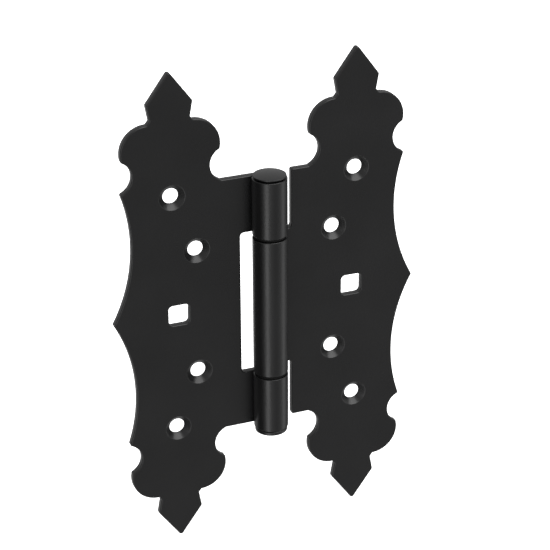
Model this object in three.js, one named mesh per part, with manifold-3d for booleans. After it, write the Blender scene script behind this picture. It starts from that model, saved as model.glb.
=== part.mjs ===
// Ornamental surface-mounted gate hinge, shown flat open.
// Two spear-ended leaves are stamped from steel sheet, and their tabs are rolled round one headed pin.
// The frame leaf carries the two outer knuckles, and the door leaf carries the long middle knuckle.
// Millimetres. The pin axis is Z, mid-height is z = 0, and the countersunk front faces -Y.

import * as THREE from 'three';
import { mergeVertices } from 'three/addons/utils/BufferGeometryUtils.js';
import Module from 'manifold-3d';

// ---- Overall sizes ----
const HINGE_HEIGHT = 200;            // between the sharp tips, before they are rounded off
const HINGE_WIDTH = 125;             // across both leaves, flat open
const SHEET = 2.8;                   // thickness of the leaves

// ---- Pin and knuckles ----
const PIN_DIAMETER = 8;
const PIN_CLEARANCE = 0.07;          // radial, pin in rolled knuckle
const ROLL_END_GAP = 0.15;           // free end of the roll to the front face it closes on
const OUTER_KNUCKLE_LENGTH = 23.4;
const AXIAL_PLAY = 0.05;             // at each face of a washer
const WASHER_THICKNESS = 0.95;
const WASHER_RIM_INSET = 0.2;        // washer edge sits this far inside the barrel surface
const HEAD_RIM_INSET = 0.8;          // pin head edge sits this far inside the barrel surface
const HEAD_SEAT_GAP = 0.1;           // under each pin head
const FORMED_HEAD_RIM = 0.7;         // height of the upper head's edge
const FORMED_HEAD_CROWN = 0.9;       // its dome above the edge
const RIVETED_HEAD_RIM = 1.5;        // height of the lower head's edge
const RIVETED_HEAD_CROWN = 0.6;      // its dome below the edge

// ---- Leaf outline, measured from the leaf's own centreline and down from its tip ----
const LEAF_BULGE = 24.75;            // half width at mid-height
const SPEAR_HALF_WIDTH = 9.1;
const SPEAR_LENGTH = 12.4;
const NECK_HALF_WIDTH = 8;
const NECK_DEPTH = 18.6;
const LOBE_RADIUS = 10.7;
const LOBE_CENTRE_OFFSET = 9.05;
const LOBE_CENTRE_DEPTH = 30.7;
const LOBE_END_DEPTH = 33.3;
const ARM_DEPTH = 46.25;             // tip level to the arm edge, which is also the barrel end
const ARM_HALF_WIDTH = 20.2;
const ARM_RUN_IN = 0.3;              // pin-side scallop ends this far inside the arm's half width
const SCALLOP_RADIUS = 7;
const WAIST_RADIUS = 66.3;
const TIP_ROUND = 1;
const CORNER_ROUND = 0.8;

// ---- Clearance notches for the other leaf's knuckles ----
const NOTCH_TO_BARREL = 3.75;         // barrel surface to the notch wall
const NOTCH_ROUND = 1.6;

// ---- Fixings ----
const SCREW_HOLE = 6.2;
const COUNTERSINK = 10.5;            // 90 degree countersink, diameter at the front face
const OUTER_HOLE_INSET = 4;        // below the arm edge, on the centreline
const INNER_HOLE_HEIGHT = 26.3;
const INNER_HOLE_OFFSET = 9.4;       // from the centreline towards the pin
const BOLT_SQUARE = 8.5;            // square neck of an M8 coach bolt
const BOLT_SQUARE_ROUND = 1.7;
const BOLT_OFFSET = 1.6;             // from the centreline towards the pin
const CUT_OVERSHOOT = 1;

// ---- Facet counts ----
const ROUND_SEGMENTS = 64;
const HOLE_SEGMENTS = 32;
const CORNER_SEGMENTS = 4;
const CROWN_SEGMENTS = 5;
const LOBE_SEGMENTS = 14;
const SCALLOP_SEGMENTS = 12;
const WAIST_SEGMENTS = 16;
const SAME_VERTEX = 1e-4;            // vertices closer than this are one vertex

// ---- Sizes that follow from the ones above ----
const halfHeight = HINGE_HEIGHT / 2;
const leafCentre = HINGE_WIDTH / 2 - LEAF_BULGE;
const armHeight = halfHeight - ARM_DEPTH;
const pinRadius = PIN_DIAMETER / 2;
const boreRadius = pinRadius + PIN_CLEARANCE;
const barrelRadius = boreRadius + SHEET;
const frontFace = boreRadius;        // the tabs run into the roll as a tangent,
const backFace = barrelRadius;       // so the back of the barrel is flush with the leaves' backs
const notchWall = barrelRadius + NOTCH_TO_BARREL;
const outerKnuckleInner = armHeight - OUTER_KNUCKLE_LENGTH;
const middleKnuckleEnd = outerKnuckleInner - WASHER_THICKNESS - 2 * AXIAL_PLAY;

const coat = { color: 0x1b1b1c, roughness: 0.42, metalness: 0.1 };
const blackNylon = { color: 0x0d0d0e, roughness: 0.65, metalness: 0 };

// ---- Manifold booleans on three.js geometry ----
const wasm = await Module();
wasm.setup();

function toSolid(geometry) {
  const bare = geometry.clone();
  bare.deleteAttribute('normal');
  bare.deleteAttribute('uv');
  const merged = mergeVertices(bare, SAME_VERTEX);
  return new wasm.Manifold(new wasm.Mesh({
    numProp: 3,
    vertProperties: new Float32Array(merged.attributes.position.array),
    triVerts: new Uint32Array(merged.index.array),
  }));
}

function toGeometry(solid) {
  const mesh = solid.getMesh();
  const geometry = new THREE.BufferGeometry();
  geometry.setAttribute('position', new THREE.BufferAttribute(mesh.vertProperties, 3));
  geometry.setIndex(new THREE.BufferAttribute(mesh.triVerts, 1));
  return geometry;
}

function namedMesh(name, geometry, finish) {
  const mesh = new THREE.Mesh(geometry, new THREE.MeshStandardMaterial(finish));
  mesh.name = name;
  return mesh;
}

// ---- Plane geometry: u runs away from the pin, v runs up ----

// Points of an arc of given radius from one point to another, bulging to the left of the way
// when side is 1 and to the right when it is -1. Both end points are included.
function arcBetween(from, to, radius, side, count) {
  const chord = to.clone().sub(from);
  const toCentre = Math.sqrt(radius ** 2 - chord.lengthSq() / 4);
  const across = new THREE.Vector2(chord.y, -chord.x).normalize().multiplyScalar(side * toCentre);
  const centre = from.clone().add(to).multiplyScalar(0.5).add(across);
  const start = from.clone().sub(centre).angle();
  const sweep = -side * 2 * Math.asin(chord.length() / 2 / radius);
  const points = [];
  for (let step = 0; step <= count; step += 1) {
    const angle = start + sweep * step / count;
    points.push(new THREE.Vector2(Math.cos(angle), Math.sin(angle)).multiplyScalar(radius).add(centre));
  }
  return points;
}

// A corner point marked to be rounded by roundCorners.
function corner(u, v, fillet) {
  const point = new THREE.Vector2(u, v);
  point.fillet = fillet;
  return point;
}

// Replaces each marked corner of a closed outline by an arc that is tangent to both sides.
function roundCorners(outline) {
  const points = [];
  outline.forEach((point, index) => {
    if (!point.fillet) {
      points.push(point);
      return;
    }
    const before = outline[(index + outline.length - 1) % outline.length].clone().sub(point);
    const after = outline[(index + 1) % outline.length].clone().sub(point);
    const halfAngle = Math.acos(before.dot(after) / before.length() / after.length()) / 2;
    const reach = Math.min(point.fillet / Math.tan(halfAngle), before.length(), after.length());
    const radius = reach * Math.tan(halfAngle);
    const from = before.setLength(reach).add(point);
    const to = after.setLength(reach).add(point);
    const turn = Math.sign(point.clone().sub(from).cross(to.clone().sub(point)));
    points.push(...arcBetween(from, to, radius, -turn, CORNER_SEGMENTS));
  });
  return points;
}

// One side of the leaf from just under the tip down to the waist, for s = distance from the centreline.
function sideOutline() {
  const level = (depth) => halfHeight - depth;
  const lobeEndDrop = LOBE_END_DEPTH - LOBE_CENTRE_DEPTH;
  const lobeStart = new THREE.Vector2(LOBE_CENTRE_OFFSET, level(LOBE_CENTRE_DEPTH) + LOBE_RADIUS);
  const lobeEnd = new THREE.Vector2(
    LOBE_CENTRE_OFFSET + Math.sqrt(LOBE_RADIUS ** 2 - lobeEndDrop ** 2), level(LOBE_END_DEPTH));
  const armCorner = new THREE.Vector2(ARM_HALF_WIDTH, armHeight);
  const bulge = new THREE.Vector2(LEAF_BULGE, 0);
  const lobe = arcBetween(lobeStart, lobeEnd, LOBE_RADIUS, 1, LOBE_SEGMENTS);
  const scallop = arcBetween(lobeEnd, armCorner, SCALLOP_RADIUS, -1, SCALLOP_SEGMENTS);
  const waist = arcBetween(armCorner, bulge, WAIST_RADIUS, -1, WAIST_SEGMENTS);
  return {
    spear: [
      corner(SPEAR_HALF_WIDTH, level(SPEAR_LENGTH), CORNER_ROUND),
      corner(NECK_HALF_WIDTH, level(NECK_DEPTH), CORNER_ROUND / 2),
    ],
    lobe: [...lobe.slice(0, -1), corner(lobeEnd.x, lobeEnd.y, CORNER_ROUND)],
    scallop: scallop.slice(1, -1),
    armCorner: corner(armCorner.x, armCorner.y, CORNER_ROUND),
    waist: waist.slice(1),
  };
}

// Mirrors a run of points in the leaf's centreline (s) or mid-height (v), walking it backwards.
function mirrored(points, signS, signV) {
  return points.map((point) => corner(point.x * signS, point.y * signV, point.fillet)).reverse();
}

// The pin side of the leaf from the upper arm edge down to the lower one, as a castellated edge:
// a tab reaches in to the start of the roll, and a notch clears the other leaf's knuckle.
function pinSideEdge(tabs, tabReach) {
  const points = [];
  let height = armHeight;
  const wall = (upper, lower) => {
    if (upper - lower < CUT_OVERSHOOT) return;
    points.push(corner(notchWall, upper, upper === armHeight ? CORNER_ROUND : NOTCH_ROUND));
    points.push(corner(notchWall, lower, lower === -armHeight ? CORNER_ROUND : NOTCH_ROUND));
  };
  tabs.forEach(([lower, upper]) => {
    wall(height, upper);
    points.push(corner(tabReach, upper, 0));
    points.push(corner(tabReach, lower, 0));
    height = lower;
  });
  wall(height, -armHeight);
  return points;
}

// Closed outline of one leaf in (u, v), anticlockwise, with its tabs still flat.
function leafOutline(tabs, tabReach) {
  const side = sideOutline();
  const away = [...side.spear, ...side.lobe, ...side.scallop, side.armCorner, ...side.waist];
  const towards = [...side.spear, ...side.lobe, ...side.scallop];
  const tip = (sign) => corner(0, sign * halfHeight, TIP_ROUND);
  const awaySide = [...away, ...mirrored(away, 1, -1).slice(1)].reverse();
  const upperTowards = mirrored(towards, -1, 1).reverse();
  const lowerTowards = mirrored(towards, -1, -1);
  const shift = (point) => corner(point.x + leafCentre, point.y, point.fillet);
  return roundCorners([
    tip(1), ...upperTowards].map(shift)
    .concat(armTransition(1), pinSideEdge(tabs, tabReach), armTransition(-1))
    .concat([...lowerTowards, tip(-1), ...awaySide].map(shift)));
}

// The corner where the pin-side scallop runs into the straight arm edge.
function armTransition(sign) {
  return [corner(leafCentre - ARM_HALF_WIDTH + ARM_RUN_IN, sign * armHeight, CORNER_ROUND)];
}

// ---- The roll, seen along the pin: u away from the pin towards the leaf, y towards the back ----
// The strip meets the roll at the back of the pin and turns until its end closes on its own front face.
const rollStartAngle = Math.PI / 2;
const rollEndAngle = 2 * Math.PI + Math.asin((frontFace - ROLL_END_GAP) / barrelRadius);

// One face of the rolled strip, straight from the root to the pin and then round it at this radius.
function rollFace(radius, root) {
  const sweep = rollEndAngle - rollStartAngle;
  const steps = Math.round(ROUND_SEGMENTS * sweep / 2 / Math.PI);
  const points = [new THREE.Vector2(root, radius)];
  for (let step = 0; step <= steps; step += 1) {
    const angle = rollStartAngle + sweep * step / steps;
    points.push(new THREE.Vector2(radius * Math.cos(angle), radius * Math.sin(angle)));
  }
  return points;
}

// A rolled knuckle between two heights, with the strip that joins it to the leaf.
function knuckleSolid(lower, upper) {
  const root = notchWall + NOTCH_ROUND;
  const shape = new THREE.Shape([...rollFace(barrelRadius, root), ...rollFace(boreRadius, root).reverse()]);
  const geometry = new THREE.ExtrudeGeometry(shape, { depth: upper - lower, bevelEnabled: false });
  geometry.translate(0, 0, lower);
  return toSolid(geometry);
}

// ---- Holes, cut along Y ----
function screwHoleCut(u, v) {
  const countersinkDepth = (COUNTERSINK - SCREW_HOLE) / 2;
  const profile = [
    new THREE.Vector2(0, -CUT_OVERSHOOT),
    new THREE.Vector2(COUNTERSINK / 2 + CUT_OVERSHOOT, -CUT_OVERSHOOT),
    new THREE.Vector2(SCREW_HOLE / 2, countersinkDepth),
    new THREE.Vector2(SCREW_HOLE / 2, SHEET + CUT_OVERSHOOT),
    new THREE.Vector2(0, SHEET + CUT_OVERSHOOT),
  ];
  const geometry = new THREE.LatheGeometry(profile, HOLE_SEGMENTS);
  geometry.translate(u, frontFace, v);
  return toSolid(geometry);
}

function boltHoleCut(u, v) {
  const half = BOLT_SQUARE / 2;
  const square = [[-half, -half], [half, -half], [half, half], [-half, half]];
  const outline = roundCorners(square.map(([x, y]) => corner(x, y, BOLT_SQUARE_ROUND)));
  const depth = SHEET + 2 * CUT_OVERSHOOT;
  const geometry = new THREE.ExtrudeGeometry(new THREE.Shape(outline), { depth, bevelEnabled: false });
  geometry.rotateX(Math.PI / 2);
  geometry.translate(u, backFace + CUT_OVERSHOOT, v);
  return toSolid(geometry);
}

// ---- Sub-parts ----

// A whole leaf on the +X side of the pin: flat blank, rolled knuckles and fixing holes.
function leafSolid(tabs) {
  const outline = leafOutline(tabs, notchWall - CUT_OVERSHOOT);
  const blank = new THREE.ExtrudeGeometry(new THREE.Shape(outline), { depth: SHEET, bevelEnabled: false });
  blank.rotateX(Math.PI / 2);
  blank.translate(0, backFace, 0);
  let leaf = toSolid(blank);
  tabs.forEach(([lower, upper]) => {
    leaf = leaf.add(knuckleSolid(lower, upper));
  });
  [1, -1].forEach((sign) => {
    leaf = leaf.subtract(screwHoleCut(leafCentre, sign * (armHeight - OUTER_HOLE_INSET)));
    leaf = leaf.subtract(screwHoleCut(leafCentre - INNER_HOLE_OFFSET, sign * INNER_HOLE_HEIGHT));
  });
  return leaf.subtract(boltHoleCut(leafCentre - BOLT_OFFSET, 0));
}

// The door leaf lies at +X and holds the middle knuckle.
function doorLeaf() {
  return toGeometry(leafSolid([[-middleKnuckleEnd, middleKnuckleEnd]]));
}

// The frame leaf is turned over the mid-plane to -X and holds the two outer knuckles.
function frameLeaf() {
  const tabs = [[outerKnuckleInner, armHeight], [-armHeight, -outerKnuckleInner]];
  return toGeometry(leafSolid(tabs).mirror([1, 0, 0]));
}

// Half profile of one pin head from its seat on the shank up to the top of its dome.
function headProfile(rimHeight, crownHeight) {
  const headRadius = barrelRadius - HEAD_RIM_INSET;
  const seat = armHeight + HEAD_SEAT_GAP;
  const crownRadius = (headRadius ** 2 + crownHeight ** 2) / 2 / crownHeight;
  const crownAngle = Math.asin(headRadius / crownRadius);
  const profile = [new THREE.Vector2(pinRadius, seat), new THREE.Vector2(headRadius, seat)];
  for (let step = 0; step <= CROWN_SEGMENTS; step += 1) {
    const angle = crownAngle * (1 - step / CROWN_SEGMENTS);
    const rise = crownRadius * (Math.cos(angle) - Math.cos(crownAngle));
    profile.push(new THREE.Vector2(crownRadius * Math.sin(angle), seat + rimHeight + rise));
  }
  return profile;
}

// Solid pin, turned round Z, with a formed head on top and its other end riveted over below.
function hingePin() {
  const upper = headProfile(FORMED_HEAD_RIM, FORMED_HEAD_CROWN);
  const lower = headProfile(RIVETED_HEAD_RIM, RIVETED_HEAD_CROWN);
  const lowerHalf = lower.map((point) => new THREE.Vector2(point.x, -point.y)).reverse();
  const geometry = new THREE.LatheGeometry([...lowerHalf, ...upper], ROUND_SEGMENTS);
  geometry.rotateX(Math.PI / 2);
  return geometry;
}

// Flat nylon washer that keeps two knuckles apart.
function washer(centreHeight) {
  const inner = boreRadius;
  const outer = barrelRadius - WASHER_RIM_INSET;
  const half = WASHER_THICKNESS / 2;
  const section = [[inner, -half], [outer, -half], [outer, half], [inner, half], [inner, -half]];
  const profile = section.map(([radius, height]) => new THREE.Vector2(radius, height));
  const geometry = new THREE.LatheGeometry(profile, ROUND_SEGMENTS);
  geometry.rotateX(Math.PI / 2);
  geometry.translate(0, 0, centreHeight);
  return geometry;
}

const washerHeight = (outerKnuckleInner + middleKnuckleEnd) / 2;

const hinge = new THREE.Group();
hinge.add(namedMesh('frame_leaf', frameLeaf(), coat));
hinge.add(namedMesh('door_leaf', doorLeaf(), coat));
hinge.add(namedMesh('hinge_pin', hingePin(), coat));
hinge.add(namedMesh('washer_upper', washer(washerHeight), blackNylon));
hinge.add(namedMesh('washer_lower', washer(-washerHeight), blackNylon));

export default hinge;
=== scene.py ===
import math

import bpy
import numpy as np
from mathutils import Matrix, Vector
from mathutils.geometry import delaunay_2d_cdt


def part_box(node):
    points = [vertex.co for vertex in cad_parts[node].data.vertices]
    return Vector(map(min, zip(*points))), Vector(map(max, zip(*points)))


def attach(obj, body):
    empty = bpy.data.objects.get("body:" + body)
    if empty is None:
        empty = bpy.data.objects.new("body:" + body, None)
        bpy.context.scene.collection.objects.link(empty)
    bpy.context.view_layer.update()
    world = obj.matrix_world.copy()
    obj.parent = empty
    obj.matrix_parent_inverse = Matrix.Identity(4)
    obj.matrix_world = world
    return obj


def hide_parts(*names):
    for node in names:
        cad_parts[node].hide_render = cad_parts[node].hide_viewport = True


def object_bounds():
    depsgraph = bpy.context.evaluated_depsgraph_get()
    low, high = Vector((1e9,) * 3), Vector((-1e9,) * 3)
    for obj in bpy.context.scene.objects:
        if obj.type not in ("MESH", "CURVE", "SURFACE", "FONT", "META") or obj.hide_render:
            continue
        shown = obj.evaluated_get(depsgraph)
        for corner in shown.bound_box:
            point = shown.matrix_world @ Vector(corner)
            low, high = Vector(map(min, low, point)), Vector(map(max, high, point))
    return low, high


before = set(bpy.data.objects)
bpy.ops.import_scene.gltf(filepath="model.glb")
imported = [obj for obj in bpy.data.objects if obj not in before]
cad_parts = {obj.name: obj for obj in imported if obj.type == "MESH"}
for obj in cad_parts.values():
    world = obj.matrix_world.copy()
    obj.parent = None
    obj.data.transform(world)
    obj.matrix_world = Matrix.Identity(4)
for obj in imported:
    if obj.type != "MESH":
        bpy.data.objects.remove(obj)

cad_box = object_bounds()

# ---------------------------------------------------------------------------
# Frame leaf.
# The left leaf is one stamping in 2.8 mm steel sheet with a spear and two lobes at each end. Two tabs
# left along its pin side are rolled round the pin as the short outer knuckles, then it is powder coated.
# ---------------------------------------------------------------------------
MM = 0.001
SHEET = 2.8

frame_low, frame_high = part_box("frame_leaf")
BARREL = frame_high.x / MM                 # outer radius of the rolled knuckles
BORE = BARREL - SHEET                      # their bore, and the front face's distance behind the axis
LEAF_REACH = -frame_low.x / MM             # pin axis to the far point of the leaf
ARM = 53.75                                # half height of the barrel and of the arms beside it

LEAF_BULGE = 24.75                         # half width at mid-height, from the leaf's own centreline
SPEAR_HALF_WIDTH, SPEAR_LENGTH = 9.1, 12.4
NECK_HALF_WIDTH, NECK_DEPTH = 8.0, 18.6
LOBE_RADIUS, LOBE_OFFSET, LOBE_DEPTH, LOBE_END_DEPTH = 10.7, 9.05, 30.7, 33.3
SCALLOP_RADIUS, WAIST_RADIUS = 7.0, 66.3
ARM_HALF_WIDTH, ARM_RUN_IN = 20.2, 0.3
TIP_ROUND, CORNER_ROUND, NECK_ROUND = 1.0, 0.8, 0.4

NOTCH_WALL, NOTCH_ROUND = BARREL + 3.75, 1.6   # notch that clears the other leaf's knuckle
OUTER_KNUCKLE_END, MIDDLE_KNUCKLE_END = 30.35, 29.05
ROLL_GAP = 0.15                            # free end of the roll to the face it closes on

SCREW_HOLE, COUNTERSINK = 3.1, 5.25        # radii
SCREW_SPOTS = [(0.0, ARM - 4.0), (-9.4, 26.3), (-9.4, -26.3), (0.0, 4.0 - ARM)]
BOLT_HALF, BOLT_ROUND, BOLT_SPOT = 4.25, 1.7, (-1.6, 0.0)

FRONT_EDGE, BACK_EDGE = 0.5, 0.25          # rounding of the coated edges, front and back
SUPPORT = 0.22                             # narrow flat strip inside each rounded edge
CURVE_STEP, LINE_STEP, FACE_STEP = 0.5, 2.0, 4.0
NO_AREA = 1e-6                             # twice the area of a triangle along one straight side
CLEAR_OF_ARC = 0.25                        # least gap from a rounded corner's end to the next point
CLEAR_OF_RIM = 0.9                         # least gap from a rim to the points spread over a face
PAST_BEND = 0.3                            # where points stop following the bend lines
CIRCLE = 72

leaf_centre = LEAF_REACH - LEAF_BULGE
spear_slant = math.atan2(SPEAR_HALF_WIDTH, SPEAR_LENGTH)
sharp_tip = frame_high.z / MM + TIP_ROUND * (1 / math.sin(spear_slant) - 1)
mid_radius = BORE + SHEET / 2
roll_sweep = math.radians(270) + math.asin((BORE - ROLL_GAP) / BARREL)
tab_end = -mid_radius * roll_sweep         # free end of the flat tab, before it is rolled
BEND_ROWS = 67
bend_lines = np.linspace(tab_end, 0, BEND_ROWS)  # a row of points on each, so that the roll comes out round


def corner_arc(corner, one_way, other_way, radius, steps=8):
    """Arc of radius r that touches both sides of a corner, whose half angle is h.

    It leaves each side r / tan h from the corner, and its centre is r / sin h along the bisector.
    A point of it is (sin((1 - t) w) start + sin(t w) end) / sin w from the centre, for w = pi - 2 h.
    """
    a, b = one_way / np.linalg.norm(one_way), other_way / np.linalg.norm(other_way)
    half = math.acos(np.clip(a @ b, -1, 1)) / 2
    centre = corner + (a + b) / np.linalg.norm(a + b) * radius / math.sin(half)
    reach = radius / math.tan(half)
    start, end, whole = corner + a * reach - centre, corner + b * reach - centre, math.pi - 2 * half
    t = np.linspace(0, 1, steps + 1)[:, None]
    return centre + (np.sin((1 - t) * whole) * start + np.sin(t * whole) * end) / math.sin(whole)


def heading(run, distance):
    """From the start of a run to its first point at least this far away."""
    away = np.linalg.norm(run - run[0], axis=1)
    return run[np.argmax(away >= min(distance, away.max()))] - run[0]


def joined(runs, rounds):
    """Closed path along the runs, with the corner at the start of each run rounded to its radius."""
    arcs = []
    for before, run, radius in zip(runs[-1:] + runs[:-1], runs, rounds):
        reach = radius / 2
        for _ in range(3):
            found = corner_arc(run[0], heading(before[::-1], reach), heading(run, reach), radius)
            reach = np.linalg.norm(found[0] - run[0])
        arcs.append(found)
    parts = []
    for run, first, last in zip(runs, arcs, arcs[1:] + arcs[:1]):
        gone = np.linalg.norm(run - run[0], axis=1) < np.linalg.norm(first[-1] - run[0]) + CLEAR_OF_ARC
        gone |= np.linalg.norm(run - run[-1], axis=1) < np.linalg.norm(last[0] - run[-1]) + CLEAR_OF_ARC
        parts += [first, run[~gone]]
    return np.concatenate(parts)


def rounded(points, radii, steps=5):
    """Open path along straight sides, with its inner corners rounded to the radii."""
    points = [np.array(p, float) for p in points]
    arcs = [corner_arc(b, a - b, c - b, r, steps)
            for a, b, c, r in zip(points, points[1:], points[2:], radii)]
    return np.concatenate([points[:1], *arcs, points[-1:]])


def straight(start, end):
    """Points along a line: on the bend lines where it crosses them, and otherwise every few millimetres."""
    start, end = np.array(start, float), np.array(end, float)
    steps = max(1, round(np.linalg.norm(end - start) / LINE_STEP))
    shares = np.linspace(0, 1, steps + 1)
    run = end[0] - start[0]
    if abs(run) > LINE_STEP and min(start[0], end[0]) < -LINE_STEP:
        crossed = (bend_lines - start[0]) / run
        shares = np.sort(np.concatenate([shares[start[0] + shares * run > PAST_BEND], crossed]))
    return start + shares[:, None] * (end - start)


def arc(start, end, radius, side):
    """Points c + r (cos a, sin a) for a evenly from start to end. c lies sqrt(r^2 - chord^2 / 4) off the
    middle of the chord, to the right of the way for side 1 and to the left for side -1."""
    start, end = np.array(start, float), np.array(end, float)
    chord = end - start
    length = np.linalg.norm(chord)
    across = np.array([chord[1], -chord[0]]) / length
    centre = (start + end) / 2 + side * across * math.sqrt(radius ** 2 - length ** 2 / 4)
    sweep = -side * 2 * math.asin(length / 2 / radius)
    first = math.atan2(*(start - centre)[::-1])
    angle = first + np.linspace(0, sweep, round(radius * abs(sweep) / CURVE_STEP) + 1)
    return centre + radius * np.stack([np.cos(angle), np.sin(angle)], 1)


def leaf_side():
    """Runs from the tip down to mid-height, for (distance from the leaf's centreline, height)."""
    lobe_start = (LOBE_OFFSET, sharp_tip - LOBE_DEPTH + LOBE_RADIUS)
    lobe_end = (LOBE_OFFSET + math.sqrt(LOBE_RADIUS ** 2 - (LOBE_END_DEPTH - LOBE_DEPTH) ** 2),
                sharp_tip - LOBE_END_DEPTH)
    neck_top = (SPEAR_HALF_WIDTH, sharp_tip - SPEAR_LENGTH)
    neck_foot = (NECK_HALF_WIDTH, sharp_tip - NECK_DEPTH)
    return [
        straight((0, sharp_tip), neck_top),
        straight(neck_top, neck_foot),
        np.concatenate([[neck_foot], arc(lobe_start, lobe_end, LOBE_RADIUS, 1)]),
        arc(lobe_end, (ARM_HALF_WIDTH, ARM), SCALLOP_RADIUS, -1),
        arc((ARM_HALF_WIDTH, ARM), (LEAF_BULGE, 0), WAIST_RADIUS, -1),
    ]


SIDE_ROUNDS = [TIP_ROUND, CORNER_ROUND, NECK_ROUND, CORNER_ROUND, CORNER_ROUND, CORNER_ROUND]


def leaf_outline(pin_side):
    """Anticlockwise outline of the flat blank in (u, v): u away from the pin, v up.

    pin_side lists the corners (u, v, radius) of the castellated edge from the upper arm to mid-height.
    """
    run_in = leaf_centre - ARM_HALF_WIDTH + ARM_RUN_IN
    away = [run + (leaf_centre, 0) for run in leaf_side()]
    towards = [run * (-1, 1) + (leaf_centre, 0) for run in leaf_side()[:4]]
    scallop = towards[3]
    towards[3] = np.concatenate([scallop[scallop[:, 0] > run_in + CLEAR_OF_ARC], [(run_in, ARM)]])

    upper = [(run_in, ARM, CORNER_ROUND)] + pin_side
    corners = upper + [(u, -v, radius) for u, v, radius in upper[::-1]]
    edge = [straight(a[:2], b[:2]) for a, b in zip(corners, corners[1:])]
    down = (1, -1)
    runs = towards + edge
    runs += [run[::-1] * down for run in towards[::-1]]
    runs += [run * down for run in away]
    runs += [run[::-1] for run in away[::-1]]
    rounds = SIDE_ROUNDS[:4] + [radius for _, _, radius in corners]
    rounds += SIDE_ROUNDS[3:0:-1] + SIDE_ROUNDS[:5] + SIDE_ROUNDS[5:0:-1]
    return joined(runs, rounds)


def screw_loop(spot):
    """Clockwise circle (r cos a, -r sin a) round a screw hole's place."""
    angle = -np.linspace(0, 2 * math.pi, CIRCLE, endpoint=False)
    return np.array(spot) + (leaf_centre, 0) + SCREW_HOLE * np.stack([np.cos(angle), np.sin(angle)], 1)


def bolt_loop():
    """Clockwise square with rounded corners, for the bolt's square neck."""
    h, (u, v) = BOLT_HALF, BOLT_SPOT
    u += leaf_centre
    square = [(u - h, v - h), (u - h, v + h), (u + h, v + h), (u + h, v - h)]
    sides = [straight(a, b) for a, b in zip(square, square[1:] + square[:1])]
    return joined(sides, [BOLT_ROUND] * 4)


# profiles through the sheet: (distance into the metal from the loop, depth behind the front face)
EDGE_PROFILE = rounded(
    [(FRONT_EDGE + SUPPORT, 0), (0, 0), (0, SHEET), (BACK_EDGE + SUPPORT, SHEET)],
    [FRONT_EDGE, BACK_EDGE])
cone = COUNTERSINK - SCREW_HOLE
SCREW_PROFILE = rounded(
    [(cone + 2 * SUPPORT, 0), (cone, 0), (0, cone), (0, SHEET), (BACK_EDGE + SUPPORT, SHEET)],
    [FRONT_EDGE, BACK_EDGE, BACK_EDGE])


def carried(loop, profile):
    """Grid (row, point, 3) of (u, v, depth): each point of the loop moved into the metal by each row's
    distance, along the mitred normal (n1 + n2) / (1 + n1 . n2) of its two sides."""
    way = np.roll(loop, -1, 0) - loop
    way /= np.linalg.norm(way, axis=1, keepdims=True)
    after = np.stack([-way[:, 1], way[:, 0]], 1)
    before = np.roll(after, 1, 0)
    mitre = (before + after) / (1 + (before * after).sum(1, keepdims=True))
    flat = loop + profile[:, 0, None, None] * mitre
    depth = np.broadcast_to(profile[:, 1, None, None], flat.shape[:2] + (1,))
    return np.concatenate([flat, depth], 2)


def inside(points, loops):
    """Whether each point is inside the loops: a ray from it along +u crosses their sides an odd number
    of times."""
    odd = np.zeros(len(points), bool)
    x, y = points[:, :1], points[:, 1:]
    for a in loops:
        b = np.roll(a, -1, 0)
        spans = (a[:, 1] > y) != (b[:, 1] > y)
        drop = np.where(a[:, 1] == b[:, 1], 1, b[:, 1] - a[:, 1])
        odd ^= (spans & (x < (b[:, 0] - a[:, 0]) * (y - a[:, 1]) / drop + a[:, 0])).sum(1) % 2 == 1
    return odd


def face_points(loops):
    """Points spread over a face, clear of its loops: a square grid on the plate, and rows on the bend
    lines along the tabs."""
    plate = np.mgrid[FACE_STEP / 2:LEAF_REACH:FACE_STEP, -sharp_tip:sharp_tip:FACE_STEP].reshape(2, -1).T
    rows = np.arange(-ARM + LINE_STEP / 2, ARM, LINE_STEP)
    tabs = np.stack(np.meshgrid(bend_lines, rows), 2).reshape(-1, 2)
    spread = np.concatenate([plate, tabs])
    spread = spread[inside(spread, loops)]
    edge = np.concatenate(loops)
    nearest = np.sqrt(((spread[:, None] - edge[None]) ** 2).sum(2).min(1))
    return spread[nearest > CLEAR_OF_RIM]


def rolled(blank):
    """Where a point (u, v, w) of the blank ends up. At u >= 0 it is (u, bore + w, v). Beyond the pin it
    turns round the axis: angle 90 degrees - u / mid radius, radius bore + w."""
    u, v, w = blank.T
    angle = math.pi / 2 - np.minimum(u, 0) / mid_radius
    radius = BORE + w
    return np.stack([np.maximum(u, 0) + radius * np.cos(angle), radius * np.sin(angle), v], 1)


def mesh_piece(name, points, faces, smooth=True):
    """Object at the origin with this mesh, its points given in millimetres."""
    mesh = bpy.data.meshes.new(name)
    mesh.from_pydata(points * MM, [], faces)
    mesh.validate()
    mesh.polygons.foreach_set("use_smooth", np.full(len(mesh.polygons), smooth))
    mesh.update()
    piece = bpy.data.objects.new(name, mesh)
    bpy.context.scene.collection.objects.link(piece)
    return piece


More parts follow.
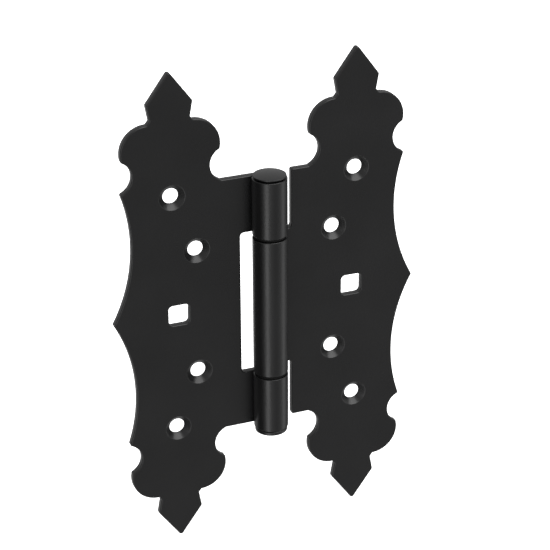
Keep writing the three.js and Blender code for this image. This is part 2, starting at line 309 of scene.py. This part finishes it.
def leaf_piece(name, pin_side, turned_over):
    """One leaf: the edge profile carried along each loop, two faces between the loops, then the roll."""
    grids = [carried(leaf_outline(pin_side), EDGE_PROFILE)]
    grids += [carried(screw_loop(spot), SCREW_PROFILE) for spot in SCREW_SPOTS]
    grids.append(carried(bolt_loop(), EDGE_PROFILE))
    points, quads, triangles, start = [], [], [], 0
    rims = {0: [], -1: []}
    for grid in grids:
        rows, count = grid.shape[:2]
        index = start + np.arange(rows * count).reshape(rows, count)
        after = np.roll(index, -1, 1)
        quads.append(np.stack([index[:-1], index[1:], after[1:], after[:-1]], 2).reshape(-1, 4))
        points.append(grid.reshape(-1, 3))
        for row in rims:
            rims[row].append((index[row], grid[row, :, :2]))
        start += rows * count
    for row, depth in ((0, 0.0), (-1, SHEET)):
        loops = [flat for _, flat in rims[row]]
        spread = face_points(loops)
        known = np.concatenate([index for index, _ in rims[row]] + [start + np.arange(len(spread))])
        sides, first = [], 0
        for loop in loops:
            ring = first + np.arange(len(loop))
            sides += np.stack([ring, np.roll(ring, -1)], 1).tolist()
            first += len(loop)
        flat = np.concatenate(loops + [spread])
        _, _, found, origins, _, _ = delaunay_2d_cdt(flat.tolist(), sides, [], 0, 1e-7)
        origin = np.array([o[0] for o in origins])
        found = origin[np.array(found)]
        one, two = np.moveaxis(flat[found[:, 1:]] - flat[found[:, :1]], 1, 0)
        real = one[:, 0] * two[:, 1] - one[:, 1] * two[:, 0] > NO_AREA
        found = found[real & inside(flat[found].mean(1), loops)]
        triangles.append(known[found] if row == 0 else known[found][:, ::-1])
        points.append(np.column_stack([spread, np.full(len(spread), depth)]))
        start += len(spread)
    place = rolled(np.concatenate(points))
    faces = np.concatenate(quads).tolist() + np.concatenate(triangles).tolist()
    if turned_over:
        place[:, 0] *= -1
        faces = [face[::-1] for face in faces]
    return mesh_piece(name, place, faces)


frame_leaf = leaf_piece("frame_leaf_coated", [
    (tab_end, ARM, CORNER_ROUND),
    (tab_end, OUTER_KNUCKLE_END, CORNER_ROUND),
    (NOTCH_WALL, OUTER_KNUCKLE_END, NOTCH_ROUND),
], True)


def node_group(name, inputs, outputs):
    """Empty shader group with these sockets: (name, socket type, default) in, (name, type) out."""
    group = bpy.data.node_groups.new(name, "ShaderNodeTree")
    for label, kind, value in inputs:
        group.interface.new_socket(label, in_out="INPUT", socket_type=kind).default_value = value
    for label, kind in outputs:
        group.interface.new_socket(label, in_out="OUTPUT", socket_type=kind)
    return group


def add(tree, kind, **settings):
    """New node. A setting that names one of its sockets, or gives its number as in _2, fills that socket
    with the value, or links it when the value is another node's output."""
    node = tree.nodes.new(kind)
    for key, value in settings.items():
        if hasattr(node, key):
            setattr(node, key, value)
            continue
        socket = node.inputs[int(key[1:])] if key[0] == "_" else node.inputs[key.replace("_", " ")]
        if isinstance(value, bpy.types.NodeSocket):
            tree.links.new(value, socket)
        else:
            socket.default_value = value
    return node


FLOAT, COLOR = "NodeSocketFloat", "NodeSocketColor"

# Powder coat: the powder flows out in the oven into a skin of fine flat pebbles, here about 0.8 mm
# apart, over a slow unevenness. The film's shade and gloss drift a little from place to place.
SLOW_WAVES, SHADE_DRIFT = 110.0, 38.0      # unevenness and patches of shade, per metre
peel_group = node_group(
    "powder_coat_skin",
    [("Pebbles per Metre", FLOAT, 1200.0), ("Shade", COLOR, (0.004, 0.004, 0.004, 1)),
     ("Gloss Loss", FLOAT, 0.3)],
    [("Color", COLOR), ("Roughness", FLOAT), ("Height", FLOAT)])
t = peel_group
given = add(t, "NodeGroupInput")
place = add(t, "ShaderNodeTexCoord").outputs["Object"]
pebbles = add(t, "ShaderNodeTexNoise", Vector=place, Scale=given.outputs[0], Detail=1.5, Roughness=0.45)
slow = add(t, "ShaderNodeTexNoise", Vector=place, Scale=SLOW_WAVES, Detail=2.0, Roughness=0.5)
drift = add(t, "ShaderNodeTexNoise", Vector=place, Scale=SHADE_DRIFT, Detail=3.0, Roughness=0.55)
height = add(t, "ShaderNodeMath", operation="MULTIPLY_ADD", _0=slow.outputs[0], _1=1.6, _2=pebbles.outputs[0])
lighter = add(t, "ShaderNodeVectorMath", operation="SCALE", _0=given.outputs[1], Scale=1.7)
shade = add(t, "ShaderNodeMix", data_type="RGBA", Factor=drift.outputs[0])
t.links.new(given.outputs[1], shade.inputs[6])
t.links.new(lighter.outputs[0], shade.inputs[7])
matter = add(t, "ShaderNodeMapRange", Value=drift.outputs[0], From_Min=0.3, From_Max=0.7,
             To_Min=0.9, To_Max=1.12)
rough = add(t, "ShaderNodeMath", operation="MULTIPLY", _0=matter.outputs[0], _1=given.outputs[2])
out = add(t, "NodeGroupOutput")
t.links.new(shade.outputs[2], out.inputs[0])
t.links.new(rough.outputs[0], out.inputs[1])
t.links.new(height.outputs[0], out.inputs[2])


def coated(name, pebbles, shade, gloss_loss, relief):
    """Powder coat finish. relief is the height of the skin's unevenness in metres."""
    material = bpy.data.materials.new(name)
    material.use_nodes = True
    tree = material.node_tree
    shader = tree.nodes["Principled BSDF"]
    skin = add(tree, "ShaderNodeGroup", node_tree=peel_group)
    skin.inputs[0].default_value = pebbles
    skin.inputs[1].default_value = (*shade, 1)
    skin.inputs[2].default_value = gloss_loss
    bump = add(tree, "ShaderNodeBump", Strength=1.0, Distance=relief, Height=skin.outputs[2])
    tree.links.new(skin.outputs[0], shader.inputs["Base Color"])
    tree.links.new(skin.outputs[1], shader.inputs["Roughness"])
    tree.links.new(bump.outputs[0], shader.inputs["Normal"])
    shader.inputs["IOR"].default_value = 1.5
    return material


leaf_coat = coated("powder_coat_leaf", 1200.0, (0.0035, 0.0035, 0.0037), 0.30, 0.00004)
frame_leaf.data.materials.append(leaf_coat)
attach(frame_leaf, "frame_side")
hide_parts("frame_leaf")

# ---------------------------------------------------------------------------
# Door leaf.
# The right leaf is stamped with the same outline from the same sheet. Its one wide tab at mid-height is
# rolled into the long middle knuckle, which turns on the pin between the two outer ones.
# ---------------------------------------------------------------------------
door_leaf = leaf_piece("door_leaf_coated", [
    (NOTCH_WALL, ARM, CORNER_ROUND),
    (NOTCH_WALL, MIDDLE_KNUCKLE_END, NOTCH_ROUND),
    (tab_end, MIDDLE_KNUCKLE_END, CORNER_ROUND),
], False)
door_leaf.data.materials.append(leaf_coat)
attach(door_leaf, "door_side")
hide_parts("door_leaf")

# ---------------------------------------------------------------------------
# Washers.
# Two thin moulded nylon rings ride on the pin between the knuckles, so that coated steel doesn't grind on
# coated steel. Their rims stay half a millimetre inside the barrel's surface.
# ---------------------------------------------------------------------------
WASHER_EDGE = 0.2
RIM_DRAFT = 0.3                            # moulded smaller than its nominal size


def turned(name, profile, closed):
    """Profile (radius, height) turned round Z: (r cos a, r sin a, z). A closed profile makes a ring, and
    an open one starts and ends on the axis, where each end is one point."""
    angle = np.linspace(0, 2 * math.pi, CIRCLE * 2, endpoint=False)
    if closed:
        body = profile
    else:
        body = profile[1:-1]
    grid = np.stack([body[:, :1] * np.cos(angle), body[:, :1] * np.sin(angle),
                     np.broadcast_to(body[:, 1:], (len(body), len(angle)))], 2)
    index = np.arange(grid.shape[0] * grid.shape[1]).reshape(grid.shape[:2])
    if closed:
        index = np.concatenate([index, index[:1]])
    after = np.roll(index, -1, 1)
    faces = np.stack([index[:-1], after[:-1], after[1:], index[1:]], 2).reshape(-1, 4).tolist()
    points = grid.reshape(-1, 3)
    if not closed:
        ends = np.array([[0, 0, profile[0, 1]], [0, 0, profile[-1, 1]]])
        foot, top = len(points), len(points) + 1
        faces += np.stack([np.full_like(index[0], foot), after[0], index[0]], 1).tolist()
        faces += np.stack([np.full_like(index[0], top), index[-1], after[-1]], 1).tolist()
        points = np.concatenate([points, ends])
    return mesh_piece(name, points, faces)


def washer_nylon_with_painted_shade():
    """Matt black nylon: almost no gloss, with a fine moulded grain in its shade and relief. Its colour is
    darker than the nylon's own black, as painted shade for the gap between the knuckles.
    """
    material = bpy.data.materials.new("washer_nylon_matt_painted_shade")
    material.use_nodes = True
    tree = material.node_tree
    shader = tree.nodes["Principled BSDF"]
    place = add(tree, "ShaderNodeTexCoord").outputs["Object"]
    grain = add(tree, "ShaderNodeTexNoise", Vector=place, Scale=2500.0, Detail=2.0)
    # Ramp stops darker than the nylon's own black: painted shade for the gap between the knuckles.
    shade = add(tree, "ShaderNodeValToRGB", Fac=grain.outputs[0])
    shade.color_ramp.elements[0].color = (0.0012, 0.0012, 0.0012, 1)
    shade.color_ramp.elements[1].color = (0.0028, 0.0028, 0.0028, 1)
    bump = add(tree, "ShaderNodeBump", Strength=0.6, Distance=0.00001, Height=grain.outputs[0])
    tree.links.new(shade.outputs[0], shader.inputs["Base Color"])
    tree.links.new(bump.outputs[0], shader.inputs["Normal"])
    shader.inputs["Roughness"].default_value = 0.7
    shader.inputs["Specular IOR Level"].default_value = 0.2
    return material


# Black nylon colour, darkened further as painted shade for the gap between the knuckles.
nylon = washer_nylon_with_painted_shade()
for node in ("washer_upper", "washer_lower"):
    low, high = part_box(node)
    z0, z1, rim = low.z / MM, high.z / MM, high.x / MM - RIM_DRAFT
    section = [(BORE, (z0 + z1) / 2), (BORE, z0), (rim, z0), (rim, z1), (BORE, z1), (BORE, (z0 + z1) / 2)]
    ring = turned(node + "_nylon", rounded(section, [WASHER_EDGE] * 4)[:-1], True)
    ring.data.materials.append(nylon)
    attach(ring, "frame_side")
    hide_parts(node)

# ---------------------------------------------------------------------------
# Hinge pin.
# A solid steel pin is pushed through from above, where it has a low formed head, and its lower end is
# riveted over the last knuckle. It is coated with the leaves.
# ---------------------------------------------------------------------------
SEAT_GAP = 0.45
FORMED_RIM, RIVETED_RIM = 0.7, 1.5         # height of the straight edge of each head
HEAD_EDGE, HEAD_UNDERCUT = 0.15, 0.5       # rounding of a head's rim, above and on its underside
HEAD_SPREAD = 0.4                          # a formed head spreads a little past its nominal size
CROWN_STEPS = 14

pin_low, pin_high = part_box("hinge_pin")
head_radius = pin_high.x / MM + HEAD_SPREAD
shank = BORE - 0.07


def pin_head(seat, rim_height, top):
    """Half of the pin's profile, from the shank out along the seat, up the rim and over the dome
    z = top - (R - sqrt(R^2 - r^2)) to the axis, with R = (a^2 + c^2) / (2 c) for rim radius a, crown c."""
    crown = top - seat - rim_height
    sphere = (head_radius ** 2 + crown ** 2) / 2 / crown
    r = np.linspace(head_radius - HEAD_EDGE, 0, CROWN_STEPS)
    dome = np.stack([r, top - sphere + np.sqrt(sphere ** 2 - r ** 2)], 1)
    rim_top = (head_radius, seat + rim_height)
    rim = rounded([(shank, seat), (head_radius, seat), rim_top, dome[0]], [HEAD_UNDERCUT, HEAD_EDGE])
    return np.concatenate([rim[:-1], dome])


upper = pin_head(ARM + SEAT_GAP, FORMED_RIM, pin_high.z / MM)
lower = pin_head(ARM + SEAT_GAP, RIVETED_RIM, -pin_low.z / MM)
pin = turned("hinge_pin_coated", np.concatenate([(lower * (1, -1))[::-1], upper]), False)
pin.data.materials.append(coated("powder_coat_pin", 1200.0, (0.0050, 0.0050, 0.0053), 0.30, 0.00003))
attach(pin, "frame_side")
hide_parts("hinge_pin")

# ---------------------------------------------------------------------------
# Studio.
# A plain white floor under the lower tips of the leaves, and a pale room that lights the hinge softly: a
# bright tall panel left of the front, a weaker one to the right, a dark left wall and a panel overhead.
# ---------------------------------------------------------------------------
FLOOR_SIZE = 6.0
WALLS = [
    # degrees round from the front towards the door side, radiance of the room there
    (-180, 0.57), (-135, 0.6), (-112, 0.2), (-97, 0.04), (-80, 0.04), (-66, 0.3), (-54, 0.7), (-46, 2.3),
    (-35, 2.5), (-28, 1.0), (-19, 0.6), (-8, 0.6), (8, 0.4), (24, 0.38), (38, 0.48), (56, 0.62),
    (64, 1.15), (80, 1.15), (90, 0.4), (110, 0.15), (135, 0.4), (155, 0.53), (180, 0.57),
]
CEILING_LIGHT = 0.55
WALL_TOP = (0.0, 0.45)                     # height on the unit sphere where walls fade into the ceiling
OVERHEAD = (0.33, -0.44, 0.83)             # middle of the panel over the front
OVERHEAD_RIM, OVERHEAD_LIGHT = (0.80, 0.93), 2.9

floor_height = cad_box[0].z
half = FLOOR_SIZE / 2
corners = np.array([(-half, -half, 0), (half, -half, 0), (half, half, 0), (-half, half, 0)]) / MM
floor = mesh_piece("floor", corners + (0, 0, floor_height / MM), [(0, 1, 2, 3)], False)
floor_paint = bpy.data.materials.new("floor_white")
floor_paint.use_nodes = True
paint = floor_paint.node_tree.nodes["Principled BSDF"]
paint.inputs["Base Color"].default_value = (0.9, 0.9, 0.9, 1)
paint.inputs["Roughness"].default_value = 0.9
paint.inputs["Emission Color"].default_value = (1, 1, 1, 1)
paint.inputs["Emission Strength"].default_value = 1.0
floor.data.materials.append(floor_paint)
floor.visible_glossy = floor.visible_diffuse = floor.visible_shadow = False

world = bpy.data.worlds.new("studio")
bpy.context.scene.world = world
world.use_nodes = True
t = world.node_tree
t.nodes.clear()
way = add(t, "ShaderNodeTexCoord").outputs["Generated"]
parts = add(t, "ShaderNodeSeparateXYZ", Vector=way).outputs
ahead = add(t, "ShaderNodeMath", operation="MULTIPLY", _0=parts["Y"], _1=-1.0).outputs[0]
round_room = add(t, "ShaderNodeMath", operation="ARCTAN2", _0=parts["X"], _1=ahead).outputs[0]
share = add(t, "ShaderNodeMapRange", Value=round_room, From_Min=-math.pi, From_Max=math.pi).outputs[0]
brightest = max(radiance for _, radiance in WALLS)
walls = add(t, "ShaderNodeValToRGB", Fac=share)
stops = walls.color_ramp.elements
for degrees, radiance in WALLS[1:-1]:
    stops.new((degrees + 180) / 360)
for stop, (degrees, radiance) in zip(stops, WALLS):
    stop.position = (degrees + 180) / 360
    stop.color = (*[radiance / brightest] * 3, 1)
wall = add(t, "ShaderNodeMath", operation="MULTIPLY", _0=walls.outputs[0], _1=brightest).outputs[0]
above = add(t, "ShaderNodeMapRange", interpolation_type="SMOOTHSTEP", Value=parts["Z"],
            From_Min=WALL_TOP[0], From_Max=WALL_TOP[1]).outputs[0]
room = add(t, "ShaderNodeMix", Factor=above, _2=wall, _3=CEILING_LIGHT).outputs[0]
along = add(t, "ShaderNodeVectorMath", operation="DOT_PRODUCT", _0=way,
            _1=np.array(OVERHEAD) / np.linalg.norm(OVERHEAD))
panel = add(t, "ShaderNodeMapRange", interpolation_type="SMOOTHSTEP", Value=along.outputs["Value"],
            From_Min=OVERHEAD_RIM[0], From_Max=OVERHEAD_RIM[1], To_Max=OVERHEAD_LIGHT)
light = add(t, "ShaderNodeMath", operation="ADD", _0=room, _1=panel.outputs[0]).outputs[0]
seen = add(t, "ShaderNodeLightPath").outputs["Is Camera Ray"]
strength = add(t, "ShaderNodeMix", Factor=seen, _2=light, _3=1.0)
glow = add(t, "ShaderNodeBackground", Color=(1, 1, 1, 1), Strength=strength.outputs[0])
t.links.new(glow.outputs[0], add(t, "ShaderNodeOutputWorld").inputs["Surface"])

CAMERA_AZIMUTH, CAMERA_ELEVATION, CAMERA_ROLL = 21.49, 25.83, -0.31
CAMERA_DISTANCE, CAMERA_SIDEWAYS, CAMERA_RAISE = 815.5, 3.29, 9.66
CAMERA_LENS = 136.2

a, e, r = np.radians([CAMERA_AZIMUTH, CAMERA_ELEVATION, CAMERA_ROLL])
back = np.array([-math.sin(a) * math.cos(e), -math.cos(a) * math.cos(e), math.sin(e)])
level = np.array([math.cos(a), -math.sin(a), 0])
steep = np.cross(back, level)
right = math.cos(r) * level + math.sin(r) * steep
up = -math.sin(r) * level + math.cos(r) * steep
spot = np.array([0, BORE, 0]) + back * CAMERA_DISTANCE + right * CAMERA_SIDEWAYS + up * CAMERA_RAISE

camera_data = bpy.data.cameras.new("camera")
camera_data.lens = CAMERA_LENS
camera_data.sensor_width = 36
camera_data.clip_start = 0.01
camera = bpy.data.objects.new("camera", camera_data)
bpy.context.scene.collection.objects.link(camera)
placed = np.eye(4)
placed[:3] = np.column_stack([right, up, back, spot * MM])
camera.matrix_world = Matrix(placed.tolist())
bpy.context.scene.camera = camera
bpy.context.scene.view_settings.view_transform = "Standard"
